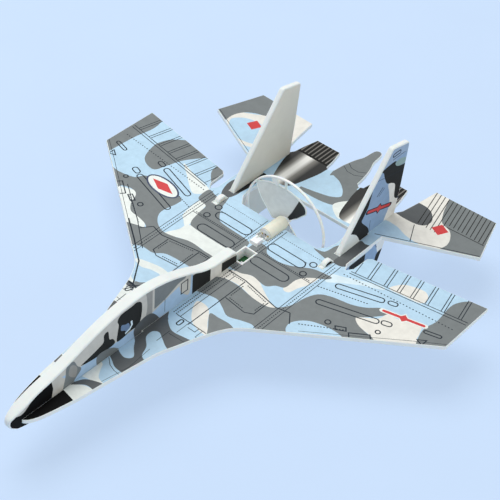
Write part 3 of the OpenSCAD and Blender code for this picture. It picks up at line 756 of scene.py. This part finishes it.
def starboard_lines():
    """Lines printed only on the starboard strake and leading edge."""
    edge = [(-29, -87), (-43, -66.7), (-50, -61.5), (-60, -53.5), (-78, -40.5)]
    return [
        ("line", stroke(edge, 1)),
        ("line", stroke([(-34, -85), (-24, -86.5)], 1)),
        ("line", stroke([(-32, -90), (-26, -83)], 0.8)),
        ("line", stroke([(-50, -56), (-72, -38), (-97, -20), (-104, -15)], 0.6)),
        ("line", ring(pill((-29.5, -92), (-28, -89), 2))),
        ("line", stroke([(-27, -95), (-26.5, -104)], 0.5)),
        ("dark_grey", smooth([(-29, -106), (-26, -104.5), (-23, -107), (-24, -113), (-27, -113)])),
    ]


def bar_mark(a, b, edge_ink, size):
    """A plain mark: a red bar with a red diamond at its middle, both with an edge."""
    a, b = Vector(a), Vector(b)
    way = (b - a).normalized()
    middle = (a + b) / 2
    turn = math.degrees(math.atan2(way.y, way.x))
    return [
        (edge_ink, pill(a - way, b + way, 3.8)),
        (edge_ink, oval(*middle, size + 1.2, size + 1.2, turn, 4)),
        ("red", pill(a, b, 2.2)),
        ("red", oval(*middle, size, size, turn, 4)),
    ]


def marks():
    """Plain marks in place of the printed ones: bars and diamonds, and an oval with a diamond."""
    return bar_mark((102, 8.8), (129, 15.4), "white", 3.4) + [
        ("navy", oval(-85, 0.5, 15.6, 7.8, -8)),
        ("white", oval(-85, 0.5, 14.2, 6.4, -8)),
        ("red", oval(-85, 0.5, 11, 4.2, -8, 4)),
        ("red", oval(82, 100, 6, 6, 20, 4)),
        ("red", oval(-86, 100, 6, 6, 20, 4)),
    ]


def fin_prints():
    """The outer face of a fin and its nacelle wall, drawn in the y-z plane."""
    return [
        ("white", smooth([(24, -3), (24, -3), (24, 4), (40, 16), (50, 16), (54, 4), (53, -3),
                          (53, -3)])),
        ("grey", smooth([(-36, -2.5), (-36, -2.5), (60, -2.5), (66, -14), (50, -15.5), (40, -16),
                         (20, -14), (0, -17), (-20, -12)])),
        ("white", smooth([(28, -15), (66, -15.5), (66, -18), (28, -18)])),
        ("black", box(44, -25.5, 62, -18.2)),
        ("black", box(12, -2, 26, 4)),
        ("cream", smooth([(74, 0), (82, -4), (90, -6), (92, -20), (86, -32), (78, -28), (74, -15)])),
        ("black", smooth([(76, -27.5), (86, -27.5), (84, -40), (76, -40)])),
        ("black", smooth([(40, 13), (40, 13), (50, 26), (58, 40), (60, 40), (58.5, 32), (57, 26),
                          (53, 20), (52, 16), (60.5, 6), (61, -1), (55, -5), (51.5, 1), (47, 8)])),
        ("cream", smooth([(78, 33), (80, 34), (86, 31), (88, 19), (92, 14), (98, 14), (98, -3),
                          (82, -3), (79, 2), (83, 12), (81, 24)])),
        ("black", smooth([(66, 50.5), (66, 50.5), (82, 51.5), (86, 46), (92, 43.5), (100, 43),
                          (100, 43), (100, 14), (100, 14), (91, 14.5), (87.5, 19), (86.5, 29),
                          (82, 33), (76, 36), (72, 43), (70, 48)])),
        ("green", smooth([(83, 49.5), (88, 50.5), (95, 48), (95, 44), (90, 44), (85, 46)])),
        ("fin_grey", smooth([(66, 51.5), (66, 51.5), (82, 52), (88, 53), (100, 53), (100, 53),
                             (100, 68), (100, 68), (70, 68), (70, 68)])),
        *bar_mark((58, 21.5), (83, 13.5), "line", 3.2),
        ("line", stroke([(66, 30), (72, 35)], 0.7)),
        ("line", stroke([(68, 29), (74, 33.5)], 0.5)),
        ("line", stroke([(62, 0), (62, 12)], 0.4)),
        ("line", stroke([(79, 54), (93, 54)], 0.5)),
        ("line", ring(pill((80, 57.5), (86, 57.5), 2.6))),
        ("line", stroke([(62, 45), (94, 38)], 0.35)),
        ("line", seam((66, -6), (76, -22), 1.8)),
    ]


def fuselage_prints():
    """One face of the fuselage profile, drawn in the y-z plane; its white and blue are darker copies that
    hold painted shade.
    """
    return [
        ("side_white", smooth([(-186, 30), (-186, 30), (-186, 9), (-186, 9), (-165, 8), (-140, 7),
                               (-113, 8), (-108, 34), (-108, 34), (-140, 34), (-140, 34)])),
        ("side_blue", smooth([(-186, 9), (-165, 8), (-140, 7), (-113, 8), (-96, 12), (-80, 16),
                              (-66, 17), (-66, -30), (-120, -30), (-186, -20)])),
        ("jet", smooth([(-232, -12), (-232, -12), (-232, 8), (-216, 3.5), (-205, 9), (-189, 13.5),
                        (-189, 13.5), (-187, 0), (-186, -20), (-186, -20)])),
        ("side_white", smooth([(-190, -4), (-190, -4), (-187, 9), (-183, 12), (-177, 6), (-180, -2),
                               (-184, -14), (-188, -14)])),
        ("grey", smooth([(-181, -3), (-178, 8), (-176.5, 16), (-171, 17), (-168, 11), (-165, 6),
                         (-172, -1), (-176, -14), (-182, -14)])),
        ("warm_grey", smooth([(-175, 8), (-174, 14), (-171, 14), (-168, 9), (-170, 3)])),
        ("black", smooth([(-165.5, 9), (-165.5, 9), (-157, 11), (-150, 13), (-146, 15),
                          (-145.5, 20.5), (-142, 21), (-141, 14), (-138, 12), (-137, 7), (-150, 6.5),
                          (-160, 7.5)])),
        ("black", smooth([(-134.5, 7), (-134, 14), (-133, 20), (-134, 24), (-131, 27.5), (-122, 28),
                          (-117, 28.5), (-113, 25), (-113, 16), (-115, 9), (-118, 8), (-124, 8),
                          (-128, 7)])),
        ("deep_blue", smooth([(-131, 14), (-130.5, 18), (-127, 16.5), (-124.5, 16), (-123.5, 12),
                              (-126, 9.5), (-128, 12)])),
        ("pale", stroke([(-122, 16.2), (-121.5, 12.5), (-123.6, 10.2), (-127.5, 9)], 1.5)),
        ("warm_grey", smooth([(-110, 36), (-110, 36), (-108, 20), (-109, 9), (-104, 9), (-103, 20),
                              (-103, 36), (-103, 36)])),
        ("side_white", box(-103.4, 11, -101.6, 36)),
        ("grey", smooth([(-101.6, 36), (-101.6, 36), (-101.6, 12), (-101.6, 12), (-92, 14),
                         (-80, 19), (-73, 20), (-73, 26), (-73, 26)])),
        ("dark_grey", smooth([(-120, 6), (-112, 11), (-104, 10), (-98, 3), (-94, -6), (-104, -8),
                              (-116, -6)])),
        ("grey", smooth([(-152, 6), (-144, 7), (-136, 3), (-130, -6), (-140, -12), (-150, -6)])),
        ("side_white", smooth([(-79, 19), (-79, 19), (-78, 12), (-74, 6), (-69, 4), (-68, 20),
                               (-68, 20)])),
        ("line", ring(box(-77, 8, -71, 17))),
        ("black", box(-66.5, -3, -49, 17)),
        ("cream", box(-49, -3, -38, 12)),
        ("black", smooth([(-38, 9), (-38, 9), (-24, 7), (-23, 4), (-23, -3), (-23, -3), (-38, -3),
                          (-38, -3)])),
        ("line", seam((-100, -3), (-60, -3), 1.8)),
        ("line", stroke([(-92, 3), (-92, 14)], 0.4)),
    ]


# ---------------------------------------------------------------- the foam sheets

def build_deck():
    ob = rounded("wing_deck", "deck_foam", 0.45, foam, "white_foam")
    outline = flat_edges(ob, (0, 0, 1), TOP_Z)
    lines = wing_lines()
    prints = deck_base_prints() + tail_prints() + lines + mirror(lines) + starboard_lines() + marks()
    skin("deck_print", outline, prints, "blue",
         lambda p: Vector((p.x / MM, (p.y - DATUM_Y) / MM)),
         at, "printed_foam")


def build_upright(node, name, faces, prints, base, width):
    """An upright foam plate with printed films; faces has 1 for the port one, -1 for starboard."""
    ob = rounded(node, name + "_foam", width, foam, "white_foam")
    pieces = [ob]
    ob.data.materials.append(foam_skin)
    for polygon in ob.data.polygons:
        polygon.material_index = int(abs(polygon.normal.x) > 0.99)
    low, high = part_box(node)
    for face in faces:
        x = (high if face > 0 else low).x
        outline = flat_edges(ob, (face, 0, 0), x * face)
        pieces.append(skin(
            f"{name}_print_{'port' if face > 0 else 'starboard'}", outline, prints, base,
            lambda p: Vector(((p.y - DATUM_Y) / MM, (p.z - TOP_Z) / MM)),
            lambda u, v, h, x=x, face=face: at(x / MM + face * h, u, v), "printed_foam"))
    return pieces


def round_nose(ob):
    """Blunts a plate's nose a little and rounds it off as seen from above."""
    bm = bmesh.new()
    bm.from_mesh(ob.data)
    for k in range(NOSE_CUTS):
        station = NOSE_TIP_Y + (NOSE_ROUND_Y - NOSE_TIP_Y) * (k + 0.5) / NOSE_CUTS
        bmesh.ops.bisect_plane(bm, geom=bm.verts[:] + bm.edges[:] + bm.faces[:],
                               plane_co=at(0, station, 0), plane_no=(0, 1, 0))
    for vert in bm.verts:
        y = (vert.co.y - DATUM_Y) / MM
        if y < NOSE_BLUNT_Y:
            y = NOSE_BLUNT_Y + (y - NOSE_BLUNT_Y) * NOSE_KEPT
            vert.co.y = y * MM + DATUM_Y
        vert.co.x *= math.sqrt(1 - (max(0, NOSE_ROUND_Y - y) / NOSE_ROUND_LEN) ** 2)
    bm.to_mesh(ob.data)
    bm.free()


add_camera()
add_studio()
build_deck()
# The fuselage faces' base is the white print with painted shade.
for plate in build_upright("fuselage_profile", "fuselage", (1, -1), fuselage_prints(), "side_white", 1.0):
    round_nose(plate)
# The fins' base print is blue darkened with painted shade.
build_upright("fin_port", "fin_port", (1,), fin_prints(), "fin_blue", 1.0)
build_upright("fin_starboard", "fin_starboard", (-1,), fin_prints(), "fin_blue", 1.0)


# ---------------------------------------------------------------- propeller and motor

SLEEVE_R = (4.26, 5)
HUB_R = 3.2
HUB_OVERLAP = 0.6    # how far a blade's root reaches into the hub
RING_R = (33, 34.4)
RING_Y = (31, 33)

# A blade lies between two straight edges; each has an angle and passes the shaft at a distance.
LEAD = (134, 6)
TRAIL = (47, 2.8)
BLADE_MID_Y = 32.4
BLADE_DEPTH = 7.4    # along the shaft, from the leading edge to the trailing one
BLADE_T = 0.8
ROOT_R = 8           # inside this radius the edges run straight in to the hub
FLAT_R = 18          # outside this radius the blade flattens towards the ring
TIP_R = (21.5, 33.2)   # the tip's radius at the trailing edge and at the leading one
TIP_CORNER = 4       # how far the tip is cut back at the trailing corner
TIP_CORNER_U = 0.15
PANEL_U = 0.25       # the dark panel's share of a blade, from its trailing edge
BEAD_R = 0.55
WEBS = ((0.5, 2), (0.66, 5))   # each web's place across a blade, and its width
WEB_T = 0.6


def round_shaft(r, a, y):
    """A point at this radius and angle from the port side about the shaft."""
    a = math.radians(a)
    return at(r * math.cos(a), y, AXIS_Z + r * math.sin(a))


def blade_polar(u, v):
    """Radius, angle and station at u across a blade, from its trailing edge, and v outwards."""
    tip = TIP_R[0] + (TIP_R[1] - TIP_R[0]) * u ** 1.3
    tip -= TIP_CORNER * max(0, 1 - u / TIP_CORNER_U) ** 2
    root = HUB_R - HUB_OVERLAP
    r = root + (tip - root) * v
    reach = max(r, ROOT_R)
    lead = LEAD[0] + math.degrees(math.asin(LEAD[1] / reach))
    trail = TRAIL[0] - math.degrees(math.asin(TRAIL[1] / reach))
    share = min(1, r / ROOT_R) ** 1.5 * (1 - 0.9 * (max(0, r - FLAT_R) / (TIP_R[1] - FLAT_R)) ** 2)
    return r, trail + (lead - trail) * u, BLADE_MID_Y + BLADE_DEPTH * share * (0.5 - u)


def blade_point(u, v, lift, turn):
    r, a, y = blade_polar(u, v)
    return round_shaft(r, a + turn, y + lift)


def add_blade(bm, turn, rows=24, cols=40):
    """A screw-shaped blade, thick at the root, with a bead all round its edge."""
    front, back = [], []
    for grid, sign in ((front, -1), (back, 1)):
        for i in range(rows + 1):
            half_t = BLADE_T / 2 * (1.15 - 0.45 * i / rows)
            grid.append([bm.verts.new(blade_point(j / cols, i / rows, sign * half_t, turn))
                         for j in range(cols + 1)])
        for i in range(rows):
            for j in range(cols):
                face = bm.faces.new([grid[i][j], grid[i][j + 1], grid[i + 1][j + 1], grid[i + 1][j]])
                if j < PANEL_U * cols and i > 0:
                    face.material_index = 2
    rim = [(0, j) for j in range(cols)] + [(i, cols) for i in range(rows)]
    rim += [(rows, j) for j in range(cols, 0, -1)] + [(i, 0) for i in range(rows, 0, -1)]
    for k, (i, j) in enumerate(rim):
        m, n = rim[(k + 1) % len(rim)]
        bm.faces.new([front[i][j], front[m][n], back[m][n], back[i][j]]).material_index = 1
    edge = [(0, k / 20) for k in range(3, 20)] + [(k / 30, 1) for k in range(31)]
    edge += [(1, k / 20) for k in range(19, 2, -1)]
    tube(bm, [blade_point(u, v, 0, turn) for u, v in edge], BEAD_R, index=1)


def add_web(bm, turn, u, width):
    """A flat web from a blade's tip into the ring."""
    r0, a, y = blade_polar(u, 0.97)
    corners = []
    for r in (r0, sum(RING_R) / 2):
        half = math.degrees(width / 2 / r)
        for side in (-half, half):
            corners += [round_shaft(r, a + side + turn, y + lift) for lift in (-WEB_T / 2, WEB_T / 2)]
    v = [bm.verts.new(c) for c in corners]
    for quad in ((0, 1, 3, 2), (4, 6, 7, 5), (0, 4, 5, 1), (2, 3, 7, 6), (0, 2, 6, 4), (1, 5, 7, 3)):
        bm.faces.new([v[i] for i in quad]).material_index = 1


def build_propeller():
    bm = bmesh.new()
    lathe(bm, lip(*RING_Y, *RING_R, 0.5), count=128, index=1)
    hub = [(30.3, 0.55), (30.3, 2.7), (30.8, HUB_R), (35.2, HUB_R), (36.0, 2.5), (36.3, 1.2), (36.3, 0.02),
           (35.3, 0.02), (35.3, 0.55)]
    lathe(bm, hub, count=40, index=1)
    for turn in (0, 180):
        add_blade(bm, turn)
        for u, width in WEBS:
            add_web(bm, turn, u, width)
    ob = new_object("propeller_moulding", bm, clear_plastic, milky_plastic, black_plastic, body="rotor",
                    slot="clear_plastic", sharp=40)
    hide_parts("propeller")


def build_motor():
    bm = bmesh.new()
    lathe(bm, lip(*SLEEVE_Y, *SLEEVE_R, 0.3), count=72)
    ob = new_object("motor_sleeve_moulding", bm, cream_plastic, slot="cream_plastic")
    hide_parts("motor_sleeve")
    rounded("motor_bracket", "motor_bracket_moulding", 0.25, white_plastic, "white_plastic", 2)


def build_pod():
    rounded("power_pod", "pod_moulding", 0.18, white_plastic, "white_plastic", 2)
    rounded("pod_lid", "pod_lid_moulding", 0.18, white_plastic, "white_plastic", 2)
    rounded("charge_socket", "charge_socket_moulding", 0.12, white_plastic, "white_plastic", 2)
    rounded("switch_slider", "switch_slider_moulding", 0.1, black_plastic, "black_plastic", 2,
            "switch_knob")


build_propeller()
build_motor()
build_pod()


# ---------------------------------------------------------------- nodes shown as they are

NODE_MATERIALS = {
    "motor_can": steel, "field_magnet": magnet, "shaft_bush": brass, "motor_end_cap": white_plastic,
    "motor_brushes": brass, "rotor_coil": copper, "commutator": brass, "motor_shaft": steel,
    "pod_screws": steel, "battery_cell": cell_foil, "battery_pad": foam_tape, "battery_leads": lead_red,
    "control_board": board_green, "receiver_chip": black_plastic, "motor_driver": black_plastic,
    "crystal_can": steel, "status_led": led_red, "charge_pins": brass, "switch_body": steel,
    "switch_pins": brass, "motor_leads": lead_white, "aerial_wire": black_plastic,
}
for node, material in NODE_MATERIALS.items():
    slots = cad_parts[node].material_slots
    if slots:
        for material_slot in slots:
            material_slot.material = material
    else:
        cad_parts[node].data.materials.append(material)


def build_floor():
    """A pale floor that the plane stands on."""
    n = Nodes("floor")
    tint = colour(206, 227, 254)
    n.join(n.ramp(n.noise(60, 4), [(0.3, shade(tint, 0.295)), (0.7, shade(tint, 0.305))]),
           n.shader.inputs["Base Color"])
    n.bump([(n.noise(1.5, 3), 0.05, 0.1)])
    bm = bmesh.new()
    bmesh.ops.create_grid(bm, x_segments=8, y_segments=8, size=4)
    mesh = bpy.data.meshes.new("floor")
    bm.to_mesh(mesh)
    bm.free()
    mesh.materials.append(n.done(Roughness=1, Specular_IOR_Level=0, Emission_Color=tint,
                                 Emission_Strength=0.67))
    floor = bpy.data.objects.new("floor", mesh)
    bpy.context.collection.objects.link(floor)


build_floor()
